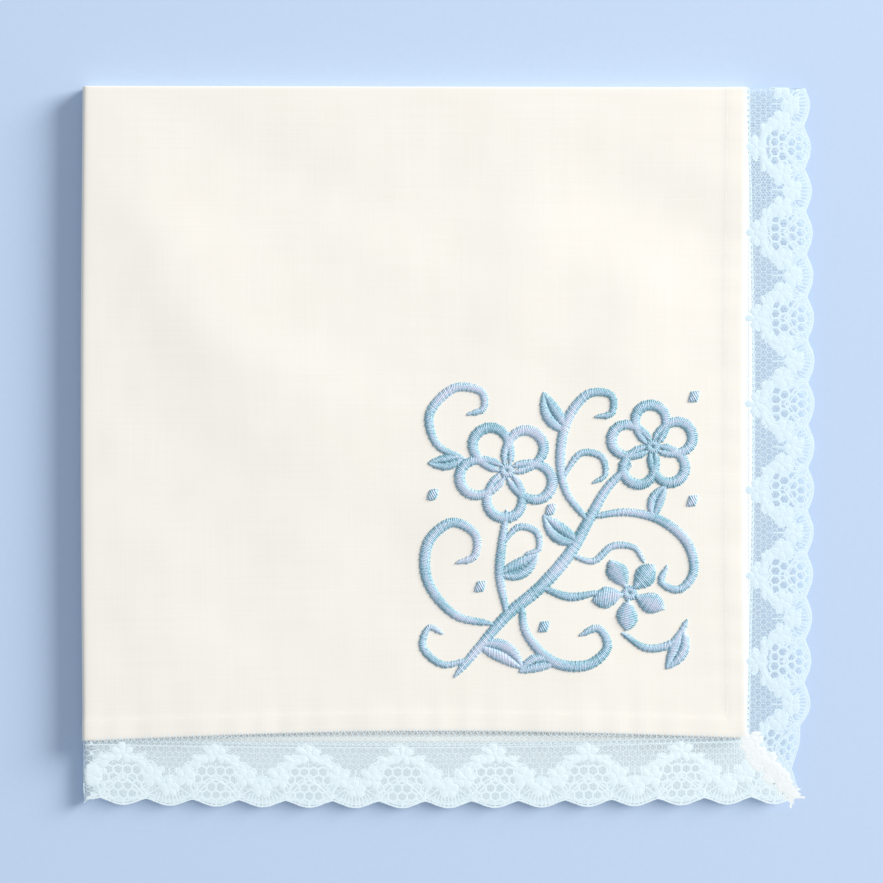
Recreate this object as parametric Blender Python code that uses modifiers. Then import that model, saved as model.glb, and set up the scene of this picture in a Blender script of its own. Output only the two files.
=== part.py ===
"""Linen handkerchief with a lace edging, folded in quarters and lying on its back half.

Metres, +Z up. Each piece is drawn flat on the open handkerchief, with the linen's
centre at (0, 0), and is then carried through the two folds:

  first fold   along the X axis: the far half goes under the near half
  second fold  along the Y axis: the left half of that pair goes under the right half

So the folded left side and the folded far side have no lace, and the lace of all four
layers lies along the right side and the near side. The hems are a little bowed, each
layer in its own way, so the layers don't quite cover one another. Every sheet is an
open grid with a Solidify modifier on it.
"""

import math

import bmesh
import bpy
from mathutils import Vector

# Driving dimensions.
LINEN_WIDTH = 0.2760  # finished square, hem to hem, across the second fold
LINEN_DEPTH = 0.2720  # hem to hem, across the first fold
LACE_WIDTH = 0.0131  # hem to scallop tips
SCALLOP_DEPTH = 0.0014
SHEET = 0.0010  # thickness of every sheet
LAYER_GAP = 0.0005  # air between folded layers
PIECE_GAP = 0.0003  # between the lace and the hem, and across a mitre

# The folds.
PITCH = SHEET + LAYER_GAP
FIRST_RADIUS = PITCH / 2
SECOND_RADIUS = PITCH
STACK = 4 * SHEET + 3 * LAYER_GAP
LOWEST_MIDDLE = SHEET / 2

# How finely the grids are cut.
LINEN_CELLS = 14  # across each flat half of the linen
BEND_CELLS = 6  # round each half turn
CELLS_PER_SCALLOP = 4
MITRE_FAN = 0.016  # the grid lines of a strip lean over this length before its mitre

# The lace, one row a side. Each length is set out from its middle both ways, so that its
# scallops fall over one another when it is folded: "scallop" is the length of one, and
# "first_tip" is how far from the middle the first one stands out most.
LACE_STRIPS = [
    {"name": "lace_near", "side": "near", "scallop": 0.00970, "first_tip": 0.0082},
    {"name": "lace_right", "side": "right", "scallop": 0.00895, "first_tip": 0.0038},
    {"name": "lace_far", "side": "far", "scallop": 0.00970, "first_tip": 0.0082},
    {"name": "lace_left", "side": "left", "scallop": 0.00895, "first_tip": 0.0038},
]

# How far each quarter's hems lie outside their straight line, from the top layer down:
# "side_bow" halfway along the hem that ends up on the right, "near_bow" halfway along the
# one that ends up nearest, and "near_fold" where that one meets the second fold.
QUARTERS = {
    ("right", "near"): {"side_bow": -0.0006, "near_bow": -0.0019, "near_fold": 0.0006},
    ("right", "far"): {"side_bow": 0.0010, "near_bow": 0.0009, "near_fold": 0.0},
    ("left", "far"): {"side_bow": 0.0013, "near_bow": 0.0012, "near_fold": 0.0},
    ("left", "near"): {"side_bow": 0.0007, "near_bow": 0.0006, "near_fold": 0.0006},
}
LEFT_BULGE = 0.0004  # the folded left side is this much fuller halfway down
FAR_LEAN = 0.0003  # the folded far side runs this much nearer at its right end

# Broad soft swells of the folded stack, from its folded corner: x to the right, y towards
# the near side. "rise" is the height at the top layer, and lower layers take their share.
SWELLS = [
    {"x": 0.014, "y": 0.034, "along": 0.020, "across": 0.007, "turn": -62, "rise": 0.00035},
    {"x": 0.046, "y": 0.066, "along": 0.026, "across": 0.010, "turn": -38, "rise": 0.00040},
    {"x": 0.088, "y": 0.044, "along": 0.014, "across": 0.007, "turn": 80, "rise": 0.00036},
    {"x": 0.116, "y": 0.026, "along": 0.020, "across": 0.006, "turn": -24, "rise": -0.00038},
    {"x": 0.112, "y": 0.046, "along": 0.013, "across": 0.007, "turn": 72, "rise": 0.00032},
    {"x": 0.060, "y": 0.094, "along": 0.016, "across": 0.009, "turn": 60, "rise": -0.00036},
    {"x": 0.030, "y": 0.108, "along": 0.015, "across": 0.008, "turn": 20, "rise": -0.00028},
    {"x": 0.050, "y": 0.020, "along": 0.030, "across": 0.008, "turn": -8, "rise": -0.00030},
]

LINEN_CREAM = (0.93, 0.90, 0.83, 1.0)
LACE_WHITE = (0.90, 0.95, 0.98, 1.0)
FABRIC_ROUGHNESS = 0.9


def clear_scene():
    for obj in list(bpy.data.objects):
        bpy.data.objects.remove(obj)


def fabric(name, colour):
    material = bpy.data.materials.new(name)
    material.use_nodes = True
    shader = material.node_tree.nodes["Principled BSDF"]
    shader.inputs["Base Color"].default_value = colour
    shader.inputs["Roughness"].default_value = FABRIC_ROUGHNESS
    shader.inputs["Metallic"].default_value = 0.0
    return material


def uneven(across, depth):
    """The same place of the open handkerchief, with its quarter's hems bowed."""
    sides = ("right" if across > 0 else "left", "near" if depth < 0 else "far")
    quarter = QUARTERS[sides]
    u = min(abs(across) / (LINEN_WIDTH / 2), 1.0)
    v = min(abs(depth) / (LINEN_DEPTH / 2), 1.0)
    sideways = quarter["side_bow"] * math.sin(math.pi * v)
    inwards = quarter["near_bow"] * math.sin(math.pi * u)
    inwards += quarter["near_fold"] * math.cos(math.pi * u / 2)
    across += math.copysign(sideways * u * u, across)
    depth += math.copysign(inwards * v * v, depth)
    return across, depth


def swell(x, y):
    """How far the top layer stands above or below its even height at this place."""
    height = 0.0
    for row in SWELLS:
        turn = math.radians(row["turn"])
        dx = x - row["x"]
        dy = y + row["y"]
        along = (dx * math.cos(turn) + dy * math.sin(turn)) / row["along"]
        across = (dy * math.cos(turn) - dx * math.sin(turn)) / row["across"]
        height += row["rise"] * math.exp(-0.5 * (along * along + across * across))
    return height


def folded(across, depth):
    """Where a point of the open handkerchief goes when it is folded in quarters."""
    across, depth = uneven(across, depth)
    first_turn = FIRST_RADIUS * math.pi / 2
    if abs(depth) < first_turn:
        angle = depth / FIRST_RADIUS
        y = FIRST_RADIUS * math.cos(angle)
        level = -FIRST_RADIUS * math.sin(angle)
    else:
        y = first_turn - abs(depth)
        level = math.copysign(FIRST_RADIUS, -depth)
    radius = SECOND_RADIUS + level
    second_turn = SECOND_RADIUS * math.pi / 2
    if abs(across) < second_turn:
        angle = across / SECOND_RADIUS
        x = -radius * math.cos(angle)
        z = radius * math.sin(angle)
    else:
        x = abs(across) - second_turn
        z = math.copysign(radius, across)
    z += STACK / 2
    share = (z - LOWEST_MIDDLE) / (STACK - SHEET)
    across_share = x / (LINEN_WIDTH / 2)
    near_share = -y / (LINEN_DEPTH / 2)
    x -= LEFT_BULGE * math.sin(math.pi * near_share) * (1 - across_share)
    y -= FAR_LEAN * across_share * (1 - near_share)
    return Vector((x, y, z + share * swell(x, y)))


def stations(half, radius, cell):
    """Places from -half to half, even round the bend at 0 and about one cell apart beyond."""
    bend = radius * math.pi / 2
    count = max(1, round((half - bend) / cell))
    flat = [bend + (half - bend) * i / count for i in range(1, count + 1)]
    turned = [bend * (2 * i / BEND_CELLS - 1) for i in range(BEND_CELLS + 1)]
    return [-place for place in reversed(flat)] + turned + flat


def sheet(name, columns, rows, place, material, collection, stand):
    """A folded sheet: a flat grid, each crossing sent to place(column, row), made solid."""
    bm = bmesh.new()
    last_column, last_row = len(columns) - 1, len(rows) - 1
    bmesh.ops.create_grid(bm, x_segments=last_column, y_segments=last_row, size=0.5)
    for vertex in bm.verts:
        column = columns[round((vertex.co.x + 0.5) * last_column)]
        row = rows[round((vertex.co.y + 0.5) * last_row)]
        vertex.co = place(column, row)
    mesh = bpy.data.meshes.new(name)
    bm.to_mesh(mesh)
    bm.free()
    mesh.shade_smooth()
    mesh.materials.append(material)
    obj = bpy.data.objects.new(name, mesh)
    collection.objects.link(obj)
    obj.parent = stand
    solidify = obj.modifiers.new("thickness", "SOLIDIFY")
    solidify.thickness = SHEET
    solidify.offset = 0.0
    return obj


def linen_square(material, collection, stand):
    half_width, half_depth = LINEN_WIDTH / 2, LINEN_DEPTH / 2
    columns = stations(half_width, SECOND_RADIUS, half_width / LINEN_CELLS)
    rows = stations(half_depth, FIRST_RADIUS, half_depth / LINEN_CELLS)
    return sheet("linen_square", columns, rows, folded, material, collection, stand)


def lace_strip(row, material, collection, stand):
    """One length of lace along a hem, mitred at both ends, with a scalloped outer edge."""
    lies_across = row["side"] in ("near", "far")
    outwards = -1 if row["side"] in ("near", "left") else 1
    half_hem, hem_at, radius = (
        (LINEN_WIDTH / 2, LINEN_DEPTH / 2, SECOND_RADIUS)
        if lies_across
        else (LINEN_DEPTH / 2, LINEN_WIDTH / 2, FIRST_RADIUS)
    )
    mitre_gap = PIECE_GAP * math.sqrt(0.5)
    half_tip = half_hem + LACE_WIDTH - mitre_gap
    fan_start = half_hem - MITRE_FAN

    def reach(along):
        """Distance from the hem to the scalloped edge, at this place along the strip."""
        wave = math.cos(2 * math.pi * (abs(along) - row["first_tip"]) / row["scallop"])
        return LACE_WIDTH - SCALLOP_DEPTH * (1 - wave) / 2

    def place(along, edge):
        """edge is 0 along the hem and 1 along the scallops."""
        out = PIECE_GAP + edge * (reach(along) - PIECE_GAP)
        if abs(along) > fan_start:
            end = half_hem + out - mitre_gap
            share = (abs(along) - fan_start) / (half_tip - fan_start)
            along = math.copysign(fan_start + share * (end - fan_start), along)
        across, depth = (
            (along, outwards * (hem_at + out))
            if lies_across
            else (outwards * (hem_at + out), along)
        )
        return folded(across, depth)

    columns = stations(half_tip, radius, row["scallop"] / CELLS_PER_SCALLOP)
    return sheet(row["name"], columns, [0.0, 1.0], place, material, collection, stand)


def stand_on_origin(pieces, stand):
    """Moves the stand so that the origin is under the middle of the pieces' box."""
    bpy.context.view_layer.update()
    graph = bpy.context.evaluated_depsgraph_get()
    corners = [
        Vector(corner)
        for piece in pieces
        for corner in piece.evaluated_get(graph).bound_box
    ]
    for axis in (0, 1):
        places = [corner[axis] for corner in corners]
        stand.location[axis] = -(min(places) + max(places)) / 2


def main():
    clear_scene()
    collection = bpy.data.collections.new("handkerchief")
    bpy.context.scene.collection.children.link(collection)
    stand = bpy.data.objects.new("folded_corner", None)
    collection.objects.link(stand)
    linen = fabric("linen", LINEN_CREAM)
    lace = fabric("lace", LACE_WHITE)
    pieces = [linen_square(linen, collection, stand)]
    pieces += [lace_strip(row, lace, collection, stand) for row in LACE_STRIPS]
    stand_on_origin(pieces, stand)


main()
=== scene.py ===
"""Looks of the linen handkerchief with a lace edging, folded in quarters.

The sections follow the real piece as it is made: the linen square and its hem, the hem
stitching, the four lengths of lace, the mitred corners, and the embroidery in one corner.
The floor, the lights and the camera come last.

Every piece is worked out flat, on the open handkerchief, in millimetres: "across" runs
left to right, "depth" runs away from the viewer, and "lift" stands out of the right side
of the cloth. The function folded() then carries it through the two folds to its place.
"""

import math

import bpy
import numpy as np
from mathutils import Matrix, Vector


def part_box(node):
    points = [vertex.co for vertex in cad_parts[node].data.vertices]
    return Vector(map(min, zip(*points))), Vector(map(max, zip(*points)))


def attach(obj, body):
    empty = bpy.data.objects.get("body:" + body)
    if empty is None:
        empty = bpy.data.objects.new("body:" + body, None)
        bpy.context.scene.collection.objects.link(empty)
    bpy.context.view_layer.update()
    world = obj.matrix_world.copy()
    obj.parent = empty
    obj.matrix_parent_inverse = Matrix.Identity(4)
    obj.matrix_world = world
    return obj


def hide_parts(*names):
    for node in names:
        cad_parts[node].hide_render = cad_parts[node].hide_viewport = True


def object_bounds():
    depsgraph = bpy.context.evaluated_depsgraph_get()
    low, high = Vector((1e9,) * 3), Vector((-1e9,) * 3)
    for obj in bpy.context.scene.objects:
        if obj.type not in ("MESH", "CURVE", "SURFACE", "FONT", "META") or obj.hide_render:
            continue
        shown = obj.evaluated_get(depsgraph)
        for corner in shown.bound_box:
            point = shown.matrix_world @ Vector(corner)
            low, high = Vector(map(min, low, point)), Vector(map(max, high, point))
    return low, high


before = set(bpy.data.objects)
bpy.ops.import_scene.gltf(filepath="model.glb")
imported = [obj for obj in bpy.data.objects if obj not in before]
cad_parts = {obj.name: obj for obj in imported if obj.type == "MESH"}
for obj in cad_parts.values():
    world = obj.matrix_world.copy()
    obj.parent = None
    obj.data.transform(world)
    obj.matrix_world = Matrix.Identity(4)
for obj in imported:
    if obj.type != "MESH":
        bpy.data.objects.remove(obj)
cad_low, cad_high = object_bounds()


# --------------------------------------------------------------------------------------
# The linen square: fine ivory plain-weave linen, cut on the thread, its raw edges turned
# under twice into a narrow hem. It is folded in half away from the viewer and then in
# half to the left, pressed only by hand, so the folds stay round and the faces swell.

LINEN_WIDTH = 276.5  # hem to hem, across the second fold
LINEN_DEPTH = 272.5  # hem to hem, across the first fold
HALF_WIDTH, HALF_DEPTH = LINEN_WIDTH / 2, LINEN_DEPTH / 2
LINEN_THICKNESS = 0.30
FIRST_BEND = 0.90  # radius of the inner fold
SECOND_BEND = 1.65  # radius of the outer fold, to the middle of the two layers it turns
BEND_SQUARENESS = 0.32  # 1 for a round fold, less for one that is pressed flat on top
STACK_MIDDLE = 2.75  # height of the middle of the folded stack
TOP_LAYER = STACK_MIDDLE + SECOND_BEND + FIRST_BEND
LOWEST_LAYER = STACK_MIDDLE - SECOND_BEND - FIRST_BEND

# The folded corner is where both fold lines cross. The solid's left side stands out by its
# outer radius and its bulge, and its far side by its inner radius.
SOLID_LEFT_REACH, SOLID_FAR_REACH = 3.16, 1.25
linen_low, linen_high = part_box("linen_square")
CORNER_X = linen_low.x * 1000 + SOLID_LEFT_REACH
CORNER_Y = linen_high.y * 1000 - SOLID_FAR_REACH

# How far each layer's hems bow out of their straight line, from the top layer down: at the
# right, at the near side, and where the near one meets the fold. The lace lies straighter
# than the hems, which overlap its heading by more or less.
HEM_BOWS = np.array([[-0.6, 1.0, 1.3, 0.7], [-1.9, 0.9, 1.2, 0.6], [0.6, 0.0, 0.0, 0.6]])
LACE_BOWS = np.array([[-0.3, 1.0, 1.2, 0.7], [0.9, 0.8, 1.1, 0.6], [0.6, 0.1, 0.0, 0.6]])
LEFT_BULGE = 0.4
FAR_LEAN = 0.3

# Broad soft swells, placed from the folded corner, right and towards the viewer:
# x, y, half length, half width, turn in degrees, rise at the top layer.
SWELLS = np.array(
    [
        [14, 34, 20, 7, -62, 0.35],
        [46, 66, 26, 10, -38, 0.40],
        [88, 44, 14, 7, 80, 0.36],
        [116, 26, 20, 6, -24, -0.38],
        [112, 46, 13, 7, 72, 0.32],
        [60, 94, 16, 9, 60, -0.36],
        [30, 108, 15, 8, 20, -0.28],
        [50, 20, 30, 8, -8, -0.30],
    ]
)

# Slight waves of the cloth itself: wavelength, direction in degrees, phase, height.
CLOTH_WAVES = np.array(
    [
        [37.0, 24, 0.4, 0.050],
        [23.0, 118, 2.1, 0.030],
        [15.0, 65, 4.0, 0.016],
        [11.0, -32, 1.2, 0.010],
        [7.3, 8, 5.1, 0.005],
    ]
)

HEM_WIDTH = 4.6
HEM_STITCH_LINE = 4.0  # from the finished edge
LACE_WIDTH = 13.1  # hem to scallop tips
LACE_DROOP = 0.15  # how much of its height the lace loses towards its free edge
HEM_STEP = 1.6  # the turned-in layers end over this length
HEM_RISES = (0.08, 0.38)  # what they add to the right and to the wrong side
EDGE_ROUNDING = 0.45
STITCH_GROOVE = 0.007
PUCKER = 0.035  # how far the stitching draws the cloth up and down
WAVES_GROW = 6.0  # the cloth's waves reach their full height this far from a fold
CLEARANCE = 0.01  # nothing lies closer to the ground

# Grid lines of the cloth: those in the hem from its edge, where the even ones beyond it
# end, and how many cells go round a fold.
HEM_LINES = (4.6, 4.3, 4.0, 3.7, 2.4, 1.2, 0.45, 0.2, 0.06, 0.0)
EVEN_LINES_END = 5.2
BEND_CELLS = 24


def bowed(across, depth, bows):
    """The same places with the hems bowed.

    Each layer is a quarter of the cloth. Its side hem moves by a half sine along the hem,
    times the square of how far out the place is; the near hem likewise, with a part that
    fades from the fold as a cosine. Beyond the hem the lace moves with it.
    """
    layer = np.where(
        across > 0, np.where(depth < 0, 0, 1), np.where(depth > 0, 2, 3)
    )
    u = np.minimum(np.abs(across) / HALF_WIDTH, 1.0)
    v = np.minimum(np.abs(depth) / HALF_DEPTH, 1.0)
    side_bow, near_bow, near_at_fold = (row[layer] for row in bows)
    sideways = side_bow * np.sin(np.pi * v)
    nearer = near_bow * np.sin(np.pi * u) + near_at_fold * np.cos(np.pi * u / 2)
    across = across + np.sign(across) * sideways * u * u
    depth = depth + np.sign(depth) * nearer * v * v
    return across, depth


def turned(x, y, degrees):
    """Places turned anticlockwise about (0, 0)."""
    cosine, sine = np.cos(np.radians(degrees)), np.sin(np.radians(degrees))
    return x * cosine - y * sine, x * sine + y * cosine


def swell(x, y):
    """Height of the top layer over its even level: the sum of turned bell shapes."""
    height = np.zeros_like(x)
    for place_x, place_y, long, short, turn, rise in SWELLS:
        along, beside = turned(x - place_x, y + place_y, -turn)
        height += rise * np.exp(-0.5 * ((along / long) ** 2 + (beside / short) ** 2))
    return height


def cloth_waves(across, depth):
    """Slight unevenness of the sheet: a sum of plane sine waves on the open cloth."""
    height = np.zeros_like(across)
    for length, turn, phase, tall in CLOTH_WAVES:
        way, _ = turned(across, depth, -turn)
        height += tall * np.sin(2 * np.pi * way / length + phase)
    return height


def squared(wave):
    """A cosine or sine whose circle is pressed towards a square: its size to a power."""
    return np.sign(wave) * np.abs(wave) ** BEND_SQUARENESS


def wound(place, bend, out):
    """Places wound round a squared half circle, and straight on beyond it.

    place is the way from the middle of the bend, bend its radius, and out the radius at
    which the place itself lies. Returns how far it stands out of the bend, less than
    nothing beyond it, and its level, which goes from -out to out.
    """
    quarter_turn = bend * np.pi / 2
    turning = np.abs(place) < quarter_turn
    angle = np.where(turning, place / bend, 0.0)
    outwards = np.where(turning, out * squared(np.cos(angle)), quarter_turn - np.abs(place))
    level = np.where(turning, out * squared(np.sin(angle)), np.sign(place) * out)
    return outwards, level


def folded(across, depth, lift, bows=HEM_BOWS):
    """Carries places on the open handkerchief to the folded one, in metres.

    The first fold winds depth round FIRST_BEND, with the lift added to the radius. The
    second winds across round SECOND_BEND, with the first fold's level taken from the
    radius, as that fold goes under. The swells then raise each layer by its share of the
    stack, and the lace sinks towards its edge.
    """
    beyond = np.maximum(np.abs(across) - HALF_WIDTH, np.abs(depth) - HALF_DEPTH)
    waves = cloth_waves(across, depth)
    across, depth = bowed(across, depth, bows)
    y, level = wound(depth, FIRST_BEND, FIRST_BEND + lift)
    x, z = wound(across, SECOND_BEND, SECOND_BEND - level)
    x, z = -x, z + STACK_MIDDLE

    share = (z - LOWEST_LAYER) / (TOP_LAYER - LOWEST_LAYER)
    flat_share = np.clip(np.minimum(x, -y) / WAVES_GROW, 0, 1)
    z = z + share * swell(x, y) + np.clip(share, 0, 1) * flat_share * waves
    z = z * (1 - LACE_DROOP * (np.clip(beyond, 0, None) / LACE_WIDTH) ** 1.5)
    z = np.maximum(z, CLEARANCE)

    x_share, y_share = x / HALF_WIDTH, -y / HALF_DEPTH
    x = x - LEFT_BULGE * np.sin(np.pi * y_share) * (1 - x_share)
    y = y - FAR_LEAN * x_share * (1 - y_share)
    return np.stack([x + CORNER_X, y + CORNER_Y, z], axis=-1) / 1000


def new_object(name, data):
    """An object of this mesh, light or camera, put in the scene."""
    thing = bpy.data.objects.new(name, data)
    bpy.context.scene.collection.objects.link(thing)
    return thing


def new_piece(name, points, faces, uv, material, nodes=()):
    """A mesh piece from arrays of points, faces (lists of corner numbers) and one UV a point. It
    rides on the one body, takes the given material, and stands for the CAD nodes that are named,
    which it hides."""
    mesh = bpy.data.meshes.new(name)
    mesh.from_pydata(points.tolist(), [], faces)
    corners = np.empty(len(mesh.loops), np.int32)
    mesh.loops.foreach_get("vertex_index", corners)
    layer = mesh.uv_layers.new(name="cloth")
    layer.data.foreach_set("uv", uv[corners].astype(np.float32).ravel())
    mesh.shade_smooth()
    mesh.materials.append(material)
    piece = new_object(name, mesh)
    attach(piece, "root")
    if nodes:
        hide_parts(*nodes)
    return piece


def put(tree, kind, inputs=None, **settings):
    """Adds a shader node. settings are its properties; inputs are values or sockets."""
    node = tree.nodes.new("ShaderNode" + kind)
    for name, value in settings.items():
        setattr(node, name, value)
    for name, value in (inputs or {}).items():
        if isinstance(value, bpy.types.NodeSocket):
            tree.links.new(value, node.inputs[name])
        else:
            node.inputs[name].default_value = value
    return node


def calculate(tree, operation, first, second=0.0, third=0.0):
    """A Math node's result."""
    node = put(tree, "Math", {0: first, 1: second, 2: third}, operation=operation)
    return node.outputs[0]


def mottled(tree, place, scale, detail, roughness=0.5, dimensions="2D"):
    """A noise texture's value."""
    inputs = {"Vector": place, "Scale": scale, "Detail": detail, "Roughness": roughness}
    return put(tree, "TexNoise", inputs, noise_dimensions=dimensions).outputs[0]


def colour_by(tree, shader, tone, *stops):
    """Colours a shader by a tone. Stops are a tone and its colour, from low to high."""
    ramp = put(tree, "ValToRGB", {0: tone})
    for position, _ in stops[1:-1]:
        ramp.color_ramp.elements.new(position)
    for element, (position, colour) in zip(ramp.color_ramp.elements, stops):
        element.position = position
        element.color = (*colour, 1)
    tree.links.new(ramp.outputs[0], shader.inputs["Base Color"])


def bump_by(tree, shader, height, strength, distance):
    """Turns a shader's normal by a height, and returns the Bump node."""
    bump = put(tree, "Bump", {"Height": height, "Strength": strength, "Distance": distance})
    tree.links.new(bump.outputs[0], shader.inputs["Normal"])
    return bump


def new_group(name, inputs, outputs):
    """An empty shader node group. Its inputs are numbers with their usual value, or
    vectors, without one. Its outputs are numbers, but for one called Normal."""
    group = bpy.data.node_groups.new(name, "ShaderNodeTree")
    for socket_name, value in inputs.items():
        kind = "NodeSocketVector" if value is None else "NodeSocketFloat"
        socket = group.interface.new_socket(socket_name, in_out="INPUT", socket_type=kind)
        if value is not None:
            socket.default_value = value
    for socket_name in outputs:
        kind = "NodeSocketVector" if socket_name == "Normal" else "NodeSocketFloat"
        group.interface.new_socket(socket_name, in_out="OUTPUT", socket_type=kind)
    return group, group.nodes.new("NodeGroupInput"), group.nodes.new("NodeGroupOutput")


def new_material(name, **values):
    """A material whose Principled shader has these plain values, and its node tree."""
    material = bpy.data.materials.new(name)
    material.use_nodes = True
    shader = material.node_tree.nodes["Principled BSDF"]
    for socket, value in values.items():
        shader.inputs[socket.replace("_", " ")].default_value = value
    return material, material.node_tree, shader


def plain_weave_group():
    """Plain weave: warp and weft are rounded ridges, sines of the two directions, and the
    sign of their product says which of the two lies on top. Slubs are noise drawn out
    along each thread, and make it now thicker, now thinner."""
    group, given, result = new_group(
        "plain_weave", {"Cloth": None, "Pitch": 0.36, "Slubs": 0.5}, ["Height", "Slub"]
    )
    cloth = given.outputs["Cloth"]
    place = put(group, "SeparateXYZ", {0: cloth})
    ridges, slubs = [], []
    for direction, stretch in (("X", (2.2, 0.035, 1.0)), ("Y", (0.035, 2.2, 1.0))):
        turns = calculate(group, "DIVIDE", place.outputs[direction], given.outputs["Pitch"])
        ridges.append(calculate(group, "SINE", calculate(group, "MULTIPLY", turns, math.pi)))
        drawn = put(group, "VectorMath", {0: cloth, 1: stretch}, operation="MULTIPLY")
        slubs.append(mottled(group, drawn.outputs[0], 1.0, 2.0))
    product = calculate(group, "MULTIPLY", ridges[0], ridges[1])
    over = calculate(group, "MULTIPLY_ADD", product, 0.5, 0.5)
    warp = calculate(group, "MULTIPLY", calculate(group, "ABSOLUTE", ridges[0]), over)
    under = calculate(group, "SUBTRACT", 1.0, over)
    weft = calculate(group, "MULTIPLY", calculate(group, "ABSOLUTE", ridges[1]), under)
    both = calculate(group, "ADD", warp, weft)
    slub = calculate(group, "MULTIPLY", calculate(group, "ADD", slubs[0], slubs[1]), 0.5)
    thick = calculate(group, "MULTIPLY", slub, given.outputs["Slubs"])
    height = calculate(group, "ADD", both, thick)
    group.links.new(height, result.inputs["Height"])
    group.links.new(slub, result.inputs["Slub"])
    return group


def linen_material():
    """Ivory linen: slubs and a broad mottle vary the ivory, and the weave is its bump."""
    material, tree, shader = new_material(
        "ivory_linen", Sheen_Weight=0.25, Sheen_Roughness=0.5, Specular_IOR_Level=0.25
    )
    cloth = put(tree, "UVMap", uv_map="cloth").outputs["UV"]
    weave = put(
        tree, "Group", {"Cloth": cloth, "Pitch": 0.32, "Slubs": 0.5}, node_tree=plain_weave
    )
    mottle = mottled(tree, cloth, 0.06, 3.0, roughness=0.6)
    tone = calculate(tree, "MULTIPLY_ADD", mottle, 0.6, 0.2)
    tone = calculate(tree, "ADD", tone, weave.outputs["Slub"])
    tone = calculate(tree, "MULTIPLY", tone, 0.5)
    dark_ivory, light_ivory = (0.900, 0.872, 0.802), (0.935, 0.912, 0.852)
    colour_by(tree, shader, tone, (0.36, dark_ivory), (0.68, light_ivory))
    rough = calculate(tree, "MULTIPLY_ADD", weave.outputs["Slub"], 0.2, 0.68)
    tree.links.new(rough, shader.inputs["Roughness"])
    bump_by(tree, shader, weave.outputs["Height"], 0.17, 0.00003)
    return material


def stations(half, bend, cells_below, cells_above):
    """Grid lines from one hem to the other: even between hem and fold, close together in
    the hem and round the bend. cells_below and cells_above count the even ones."""
    turn = bend * np.pi / 2
    below, above = (
        np.append(np.linspace(turn, half - EVEN_LINES_END, cells + 1), half - np.array(HEM_LINES))
        for cells in (cells_below, cells_above)
    )
    middle = np.linspace(-turn, turn, BEND_CELLS + 1)[1:-1]
    return np.concatenate([-below[::-1], middle, above])


def smooth_step(share):
    """From 0 to 1 with level ends: three times the square less twice the cube."""
    share = np.clip(share, 0, 1)
    return share * share * (3 - 2 * share)


def linen_sides(across, depth):
    """Lift of the right and of the wrong side of the linen.

    Both are half the linen's thickness from its middle. Within the hem the turned-in
    layers add to both by a smooth step, mostly to the wrong side. The edge is rounded off
    as a quarter ellipse, the stitching pulls in a narrow bell-shaped groove, and the hem
    puckers a little along its length, as a sine whose phase is another sine.
    """
    from_side, from_end = HALF_WIDTH - np.abs(across), HALF_DEPTH - np.abs(depth)
    inside = np.minimum(from_side, from_end)
    hem = smooth_step((HEM_WIDTH + 0.5 - inside) / HEM_STEP)
    rounded = np.sqrt(1 - (1 - np.clip(inside / EDGE_ROUNDING, 0.012, 1)) ** 2)
    groove = STITCH_GROOVE * np.exp(-(((inside - HEM_STITCH_LINE) / 0.45) ** 2))
    along = np.where(from_side < from_end, depth, across)
    pucker = PUCKER * np.exp(-((inside / 7) ** 2))
    pucker *= np.sin(along / 1.15 + 1.7 * np.sin(along / 6.1))
    right_rise, wrong_rise = HEM_RISES
    right = rounded * (LINEN_THICKNESS / 2 + right_rise * hem - groove) + pucker
    wrong = -rounded * (LINEN_THICKNESS / 2 + wrong_rise * hem) + pucker
    return right, wrong


def grid_faces(number):
    """The quads of a grid of corner numbers."""
    corners = [number[:-1, :-1], number[:-1, 1:], number[1:, 1:], number[1:, :-1]]
    return np.stack(corners, axis=-1).reshape(-1, 4)


def linen_square():
    """Two grids, the right side and the wrong side, joined round their rim."""
    columns = stations(HALF_WIDTH, SECOND_BEND, 52, 112)
    rows = stations(HALF_DEPTH, FIRST_BEND, 112, 52)
    depth, across = np.meshgrid(rows, columns, indexing="ij")
    sides = [folded(across, depth, lift).reshape(-1, 3) for lift in linen_sides(across, depth)]
    uv = np.stack([across, depth], axis=-1).reshape(-1, 2)

    count = across.size
    number = np.arange(count).reshape(across.shape)
    quads = grid_faces(number)
    rim = np.concatenate(
        [number[0, :-1], number[:-1, -1], number[-1, :0:-1], number[:0:-1, 0]]
    )
    onward = np.roll(rim, -1)
    band = np.stack([onward, rim, rim + count, onward + count], axis=-1)
    faces = np.concatenate([quads, quads[:, ::-1] + count, band]).tolist()
    return new_piece(
        "linen_cloth",
        np.concatenate(sides),
        faces,
        np.concatenate([uv, uv]),
        linen_material(),
        nodes=["linen_square"],
    )


plain_weave = plain_weave_group()
linen_cloth = linen_square()


# --------------------------------------------------------------------------------------
# The hem stitching: a straight row of ivory sewing cotton, a little in from the hem's
# inner fold, on all four sides. Each stitch dips into the cloth at both its ends.

# Each pair of hems: half its length, its distance from the middle, whether it lies across.
HEMS = ((HALF_WIDTH, HALF_DEPTH, True), (HALF_DEPTH, HALF_WIDTH, False))
STITCH_LENGTH = 2.15
STITCH_SPACING = 2.25
STITCH_THREAD, STITCH_FLATNESS = 0.14, 0.4  # width, and the share of it that is its height
STITCH_LIFT, STITCH_ARCH = 0.19, 0.03
SHARP_EDGE = math.radians(80)


def tube_walls(rings):
    """The quads between rings of corner numbers. The last axis goes round a ring, and the
    one before it from ring to ring."""
    onward = np.roll(rings, -1, axis=-1)
    corners = [rings[..., :-1, :], onward[..., :-1, :], onward[..., 1:, :], rings[..., 1:, :]]
    return np.stack(corners, axis=-1).reshape(-1, 4)


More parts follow.
